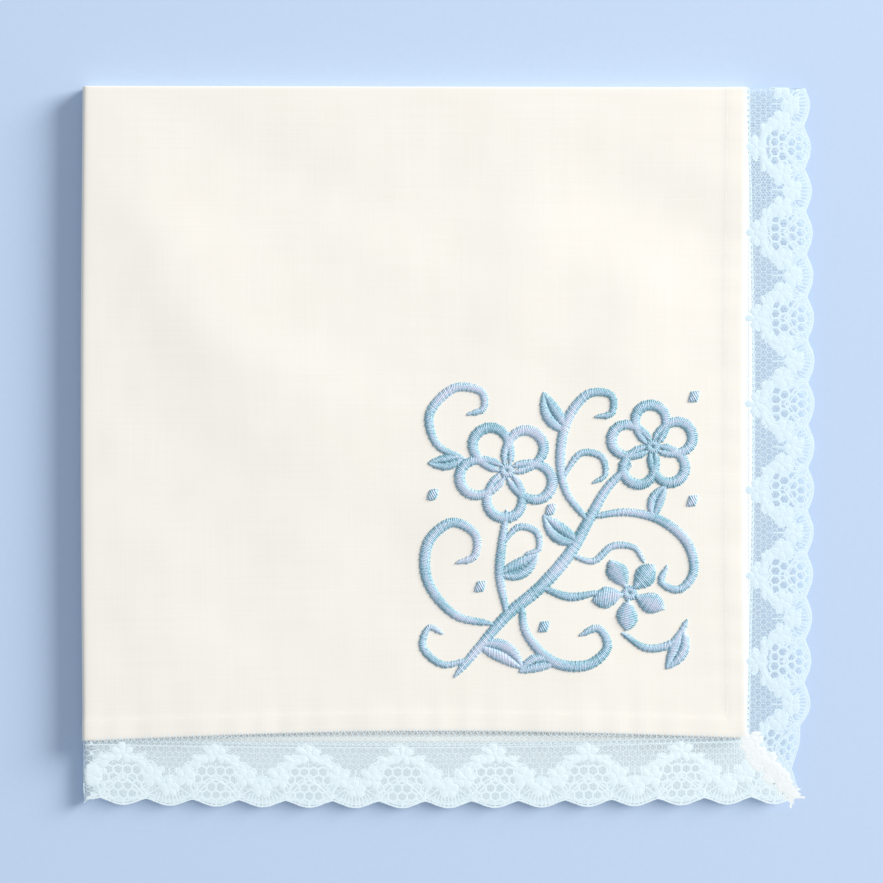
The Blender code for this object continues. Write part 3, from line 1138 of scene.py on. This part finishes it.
def mitre(sign_across, sign_depth, seed):
    """One corner's ridge, the flowers folded in with it, its oversewing and its tails."""
    random = np.random.default_rng(seed)
    corner = np.array([sign_across * HALF_WIDTH, sign_depth * HALF_DEPTH])
    reach = np.array([sign_across, sign_depth]) * MITRE_REACH
    length = np.linalg.norm(reach)
    forward = reach / length
    beside = np.array([-forward[1], forward[0]])

    share = np.linspace(-0.06, 1.0, 24)
    wobble = 0.12 * np.sin(share * 17 + seed)
    ridge = corner + np.outer(share, reach) + np.outer(wobble, beside)
    ridge_width = MITRE_RIDGE_WIDTH * (0.8 + 0.35 * share)

    each_stitch = (MITRE_STITCHES, 1)
    place = np.linspace(-0.08, 0.95, MITRE_STITCHES)[:, None]
    place = place + random.normal(0, 0.012, each_stitch)
    swing = np.linspace(-1, 1, 6)
    reach_aside = MITRE_STITCH_HALF * random.uniform(0.5, 1.5, each_stitch)
    reach_aside *= 0.85 + 0.4 * place
    along = place * length + swing * random.normal(0.3, 0.6, each_stitch)
    aside = reach_aside * swing + random.normal(0, 0.22, each_stitch)
    flat = corner + along[..., None] * forward + aside[..., None] * beside
    arch = 0.08 + 0.10 * np.sqrt(np.clip(1 - swing**2, 0, 1)) + 0 * aside
    arch = arch + random.uniform(-0.03, 0.05, each_stitch)
    stitches = np.concatenate([flat, arch[..., None]], axis=-1)

    share = random.uniform(0.02, 0.84, MITRE_PETALS)
    aside = random.uniform(-2.6, 2.6, MITRE_PETALS) * (0.9 - 0.1 * share)
    flat = corner + np.outer(share, reach) + np.outer(aside, beside)
    sizes = random.uniform((0.80, 0.50), (1.30, 0.85), (MITRE_PETALS, 2))
    turns = random.uniform(0, 360, (MITRE_PETALS, 1))
    clump = np.concatenate([flat, turns, sizes], axis=-1)

    tails = []
    step = np.linspace(0, 1, 12)
    for turn, reach_out, curl in MITRE_TAILS:
        way = np.array(turned(*forward, turn))
        over = np.array([-way[1], way[0]])
        flat = corner + reach * 0.95 + np.outer(step * reach_out, way)
        flat = flat + np.outer(curl * np.sin(step * 2.4) * step, over)
        tails.append(np.concatenate([flat, 0.25 - 0.2 * step[:, None]], axis=-1))
    return [
        threads(lifted(ridge, 0.12)[None], ridge_width, MITRE_RIDGE_HEIGHT, sides=10),
        petals(clump, 0.10),
        threads(stitches, *MITRE_THREAD),
        threads(np.array(tails), *TAIL_THREAD),
    ]


mitre_thread = thread_material(
    "white_mitre_thread",
    (0.83, 0.90, 0.915),
    (0.95, 0.985, 0.985),
    turn=0.45,
    bump_height=0.00001,
    roundness=0.35,
    Roughness=0.55,
    Specular_IOR_Level=0.25,
)
all_mitres = []
for seed, signs in enumerate(((1, -1), (1, 1), (-1, 1), (-1, -1))):
    all_mitres += mitre(*signs, seed)
mitres = sewn_on("mitre_oversewing", all_mitres, mitre_thread)
lets_light_by(mitres)


# --------------------------------------------------------------------------------------
# The embroidery: a spray of open flowers, leaves and curling tendrils in light blue
# rayon, worked by machine in satin stitch: each line is a column of short threads laid
# side by side across it, padded underneath, so that it stands up rounded and shines.

SPRAY_ACROSS, SPRAY_DEPTH = 99.6, -93.4  # its middle, from the folded corner
SATIN_SPACING = 0.33
SATIN_THREAD = (0.38, 0.26)  # width and height
PADDING = (0.84, 1.1)  # its width and height, as shares of its column's
SATIN_SWING = (-1.0, -0.88, -0.5, 0.0, 0.5, 0.88, 1.0)  # places along a stitch

# Lines worked as one column, on the spray's own drawing: points, and the greatest width.
STEMS = [
    ([(-22, -31), (-17, -25), (-11, -18), (-4, -12), (2, -5), (6, 2), (10, 9), (15, 14)], 2.7),
    ([(-11, -18), (-12.5, -10), (-12, -3), (-11, 4)], 2.0),
    ([(-4, -12), (2, -14), (8, -13)], 1.8),
]
SCROLLS = [
    (
        [(-14, -20), (-22, -18), (-27.5, -11), (-27.5, -3), (-22.5, 1.5), (-17.6, -1),
         (-17.8, -5.6), (-21.5, -7)],
        2.3,
    ),
    (
        [(-20, 15), (-25.5, 18), (-27, 24.5), (-22, 29.8), (-16.4, 29.2), (-15.8, 25.6),
         (-19, 24.4)],
        2.0,
    ),
    (
        [(-8, -15.5), (-7, -22), (-1.5, -27.8), (5.5, -28.4), (9.8, -24.6), (8, -20.6),
         (4.2, -22)],
        2.3,
    ),
    (
        [(7, 3), (14, 4), (21, 2.5), (26.5, -2), (28, -8), (25, -12), (21.2, -10.6),
         (22.4, -7.2)],
        2.1,
    ),
    (
        [(6, 2), (1.5, 8), (0.2, 15), (1.6, 23), (5.8, 28.6), (10.8, 28.6), (11.0, 24.8),
         (7.6, 24.0)],
        2.1,
    ),
    ([(13, -21.5), (18, -24.5), (23.5, -23.2), (26.5, -18.5)], 1.7),
]
TENDRILS = [
    ([(-19, -27.5), (-24.5, -28.6), (-28.6, -25), (-27.4, -20.8), (-24.6, -22)], 1.6),
    ([(-12, -3), (-8.6, 0.6), (-4.8, -0.4), (-4.4, -4), (-7, -5)], 1.5),
    ([(0.6, 11), (4.4, 16.2), (8.8, 15.6), (9.6, 11.8), (7.2, 10.2)], 1.5),
    ([(2, -5), (7, -6.4), (11, -3.2), (15.5, -3.4), (17.6, -6.4)], 1.5),
]
# Open flowers: middle, petal length, petal breadth, turn of the first petal.
OPEN_FLOWERS = [((-11, 12.5), 9.8, 7.2, 50), ((19.5, 17.8), 8.6, 6.3, 22)]
# Filled flowers: middle, petal length, petal width, turn of the first petal.
FILLED_FLOWERS = [((14.5, -13), 7.8, 4.6, 48)]
# Leaves: base, turn in degrees, length, width, bend.
LEAVES = [
    ((-16.5, -24.5), -28, 9.5, 4.8, 1.0),
    ((-12.2, -9.5), 30, 8.5, 4.4, -0.8),
    ((3.6, -2.4), 142, 8.5, 4.4, 0.8),
    ((-1.5, -28), -165, 7.0, 3.8, -0.8),
    ((1.6, 21), 122, 9.0, 4.4, 0.8),
    ((25.5, -20.5), -112, 8.5, 4.2, 0.8),
    ((-20.4, 15.2), 190, 6.6, 3.4, 0.4),
    ((19.5, 3.4), 68, 6.5, 3.4, 0.5),
]
BUDS = [(27.8, 6.6), (-3.4, -20.4), (28.2, 28.4), (-1.8, 4.4), (-16.6, -12), (-26.4, 7.4)]
PETALS = 5
OUTLINE_WIDTH = 2.3  # of an open flower's petals
RING_RADIUS, RING_WIDTH = 0.9, 1.5  # the satin ring in the middle of every flower
BUD_HALF, BUD_WIDTH = (0.975, 0.845), 2.3


def smooth_line(points, spacing=SATIN_SPACING, closed=False):
    """Evenly spaced places on a smooth curve through the points (Catmull-Rom)."""
    points = np.asarray(points, float)
    if closed:
        padded = np.concatenate([points[-1:], points, points[:2]])
    else:
        first, last = 2 * points[0] - points[1], 2 * points[-1] - points[-2]
        padded = np.concatenate([first[None], points, last[None]])
    t = np.linspace(0, 1, 40, endpoint=False)[None, :, None]
    a, b, c, d = (padded[i : len(padded) - 3 + i][:, None, :] for i in range(4))
    curve = 0.5 * (
        2 * b + (c - a) * t + (2 * a - 5 * b + 4 * c - d) * t**2 + (3 * b - a - 3 * c + d) * t**3
    )
    curve = np.concatenate([curve.reshape(-1, 2), padded[-2][None]])
    travel = np.concatenate([[0], np.cumsum(np.linalg.norm(np.diff(curve, axis=0), axis=1))])
    count = max(6, int(travel[-1] / spacing))
    wanted = np.linspace(0, travel[-1], count)
    return np.stack([np.interp(wanted, travel, curve[:, i]) for i in (0, 1)], axis=-1)


def stroke_width(count, width):
    """A pen stroke's width along it: half a sine over a base, rounded off at both ends."""
    share = np.linspace(0, 1, count)
    ends = np.clip(np.minimum(share, 1 - share) / 0.05, 0.12, 1) ** 0.5
    return width * ends * (0.62 + 0.38 * np.sin(np.pi * share) ** 1.5)


def leaf_width(count, width, fullest=0.85):
    """A leaf's width along it: half a sine, with its fullest place moved by a power."""
    share = np.linspace(0, 1, count)
    return 0.25 + (width - 0.25) * np.sin(np.pi * share**fullest) ** 0.8


def satin_column(line, width, lean=0.25):
    """Stitches side by side across a line: arched threads, a little slanted. width holds
    their lengths, and is made slightly ragged as the needle never falls quite even."""
    heading = np.gradient(line, axis=0)
    heading /= np.linalg.norm(heading, axis=1, keepdims=True)
    beside = np.stack([-heading[:, 1], heading[:, 0]], axis=-1)
    order = np.arange(len(line))
    half = width / 2 + 0.06 * np.sin(order * 2.4) + 0.06 * np.sin(order * 1.7 + line[:, 0])
    swing = np.array(SATIN_SWING)
    flat = line[:, None, :] + (half[:, None] * swing)[..., None] * beside[:, None, :]
    flat = flat + (lean * swing)[None, :, None] * heading[:, None, :]
    arch = np.sqrt(np.clip(1 - swing**2, 0, 1))
    tall = 0.06 + (0.25 + 0.17 * half[:, None]) * arch
    return np.concatenate([flat, tall[..., None]], axis=-1)


def petal_loop(centre, turn, length, breadth):
    """Outline of an open petal: out from the flower's middle and back, as an egg."""
    angles = np.radians(np.arange(-150, 151, 30))
    x = length * (0.52 + 0.5 * np.cos(angles))
    y = breadth / 2 * np.sin(angles) * (1.0 + 0.25 * np.cos(angles))
    return centre + np.stack(turned(x, y, turn), axis=-1)


def leaf_columns(base, turn, length, width, bend):
    """A leaf worked as two columns that meet on its midrib."""
    share = np.linspace(0, 1, 7)
    spread = leaf_width(7, width / 2) / 2
    columns = []
    for side in (-1, 1):
        beside = bend * np.sin(np.pi * share) + side * spread
        line = smooth_line(base + np.stack(turned(share * length, beside, turn), axis=-1))
        columns.append(satin_column(line, leaf_width(len(line), width / 2), side * 0.5))
    return columns


def spray_columns():
    """Every satin column of the spray, on its own drawing."""
    columns = []
    for points, width in STEMS + SCROLLS + TENDRILS:
        line = smooth_line(points)
        columns.append(satin_column(line, stroke_width(len(line), width)))
    for row in LEAVES:
        columns += leaf_columns(*row)
    turns = np.arange(PETALS) * 360 / PETALS
    for middle, length, breadth, first in OPEN_FLOWERS:
        for turn in first + turns:
            line = smooth_line(petal_loop(middle, turn, length, breadth))
            columns.append(satin_column(line, stroke_width(len(line), OUTLINE_WIDTH)))
    for middle, length, width, first in FILLED_FLOWERS:
        for turn in first + turns:
            way = turned(1.0, 0.0, turn)
            line = smooth_line(middle + np.outer((1.3, 0.5 * length, length), way))
            columns.append(satin_column(line, leaf_width(len(line), width, 1.25)))
    for middle, *_ in OPEN_FLOWERS + FILLED_FLOWERS:
        ring = np.stack(turned(RING_RADIUS, 0.0, np.arange(0, 360, 45)), axis=-1)
        line = smooth_line(middle + ring, closed=True)
        columns.append(satin_column(line, np.full(len(line), RING_WIDTH)))
    for place in BUDS:
        line = smooth_line(place + np.outer((-1, 0, 1), BUD_HALF))
        columns.append(satin_column(line, leaf_width(len(line), BUD_WIDTH, 1.0)))
    return columns


def rayon_material():
    """Light blue rayon: broad patches shift it between sea blue and lavender, each thread has its
    own tone, and its filaments shine. Each stitch is painted darker towards its ends and lighter
    along its middle: painted shade where it turns down into the cloth at the column's rims, and a
    painted highlight along the column's crown."""
    material, tree, shader = new_material(
        "light_blue_rayon", Roughness=0.33, Sheen_Weight=0.15, Specular_IOR_Level=0.8
    )
    along = put(tree, "UVMap", uv_map="cloth").outputs["UV"]
    twist = put(tree, "Group", {"Thread": along, "Turn": 1.1}, node_tree=twisted_thread)
    place = put(tree, "TexCoord").outputs["Object"]
    patches = mottled(tree, place, 130.0, 2.0, dimensions="3D")
    tone = calculate(tree, "MULTIPLY_ADD", twist.outputs["Fuzz"], 1.1, -0.55)
    tone = calculate(tree, "ADD", patches, tone)
    # Painted shade and highlight: V is 0 at a stitch's ends and 1 in its middle, so the ends are
    # painted darker, towards sea blue, and the middle lighter, towards lavender.
    stitch = put(tree, "SeparateXYZ", {0: along})
    ends = calculate(tree, "MULTIPLY_ADD", stitch.outputs["Y"], 0.36, -0.20)
    tone = calculate(tree, "ADD", tone, ends)
    sea_blue, light_blue, lavender = (
        (0.250, 0.490, 0.590), (0.440, 0.670, 0.820), (0.640, 0.710, 0.860)
    )
    colour_by(tree, shader, tone, (0.28, sea_blue), (0.50, light_blue), (0.74, lavender))
    bump_by(tree, shader, twist.outputs["Height"], 0.4, 0.00002)
    return material


def embroidered_spray():
    """The stitches, with a padding tube under each column, placed on the top layer. V is
    0 at both ends of a stitch and 1 in its middle."""
    parts = []
    middle = len(SATIN_SWING) // 2
    wide, high = PADDING
    for column in spray_columns():
        points, faces, uv = threads(column, *SATIN_THREAD)
        # V across each stitch, which the rayon turns into painted shade at the stitch ends and a
        # painted highlight in its middle.
        share = 1 - np.abs(np.array(SATIN_SWING))
        uv[:, 1] = np.tile(np.repeat(share, 4), len(column))
        parts.append((points, faces, uv))
        line = lifted(column[:, middle, :2], 0.14)
        width = np.linalg.norm(column[:, -1, :2] - column[:, 0, :2], axis=1) * wide
        tall = column[:, middle, 2].max() * high
        parts.append(threads(line[None], width[None], tall, sides=8))
    place = (SPRAY_ACROSS, SPRAY_DEPTH)
    return sewn_on("embroidered_spray", parts, rayon_material(), place)


spray = embroidered_spray()


# --------------------------------------------------------------------------------------
# The floor, the light and the camera: a pale blue paper ground, one large soft light
# from the right, a dim pale sky, and a long lens straight above the handkerchief.

GROUND_SIZE = 3.0
VIEW_WIDTH = 0.1847  # what the camera's frame spans on the ground
VIEW_OFFSET = Vector((-0.00136, 0.00105, 0.0))  # of the frame's middle from the piece's
CAMERA_HEIGHT = 1.1
SENSOR = 36.0
KEY_TOWARDS = Vector((0.79, 0.42, 0.446))  # direction from the cloth to the light
KEY_DISTANCE = 2.4
KEY_SIZE = 1.373
KEY_POWER = 80.5
KEY_COLOUR = (1.0, 0.95, 0.89)
SKY_COLOUR = (0.87, 0.92, 1.0)
SKY_STRENGTH = 0.50


def ground():
    """A wide flat sheet of pale blue paper."""
    mesh = bpy.data.meshes.new("paper_ground")
    half = GROUND_SIZE / 2
    corners = [(-half, -half, 0), (half, -half, 0), (half, half, 0), (-half, half, 0)]
    mesh.from_pydata(corners, [], [(0, 1, 2, 3)])
    material, tree, shader = new_material("pale_blue_paper", Roughness=0.9)
    place = put(tree, "TexCoord").outputs["Object"]
    grain = mottled(tree, place, 900.0, 3.0, dimensions="3D")
    colour_by(tree, shader, grain, (0.0, (0.515, 0.650, 0.860)), (1.0, (0.545, 0.680, 0.885)))
    mesh.materials.append(material)
    new_object("paper_ground", mesh)


def key_light():
    """One large round light, turned to face the cloth."""
    data = bpy.data.lights.new("soft_key", "AREA")
    data.shape = "DISK"
    data.size = KEY_SIZE
    data.energy = KEY_POWER
    data.color = KEY_COLOUR
    lamp = new_object("soft_key", data)
    towards = KEY_TOWARDS.normalized()
    lamp.location = towards * KEY_DISTANCE
    lamp.rotation_euler = towards.to_track_quat("Z", "Y").to_euler()


def sky():
    """An even, slightly cool light from all round."""
    world = bpy.data.worlds.new("soft_sky")
    world.use_nodes = True
    background = world.node_tree.nodes["Background"]
    background.inputs["Color"].default_value = (*SKY_COLOUR, 1)
    background.inputs["Strength"].default_value = SKY_STRENGTH
    bpy.context.scene.world = world


def overhead_camera():
    """Straight above the piece, its frame's middle set off by VIEW_OFFSET."""
    middle = (cad_low + cad_high) / 2
    data = bpy.data.cameras.new("overhead")
    data.sensor_width = SENSOR
    data.lens = SENSOR * CAMERA_HEIGHT / VIEW_WIDTH
    camera = new_object("overhead", data)
    camera.location = Vector((middle.x, middle.y, CAMERA_HEIGHT)) + VIEW_OFFSET
    bpy.context.scene.camera = camera


ground()
key_light()
sky()
overhead_camera()
bpy.context.scene.view_settings.view_transform = "Standard"
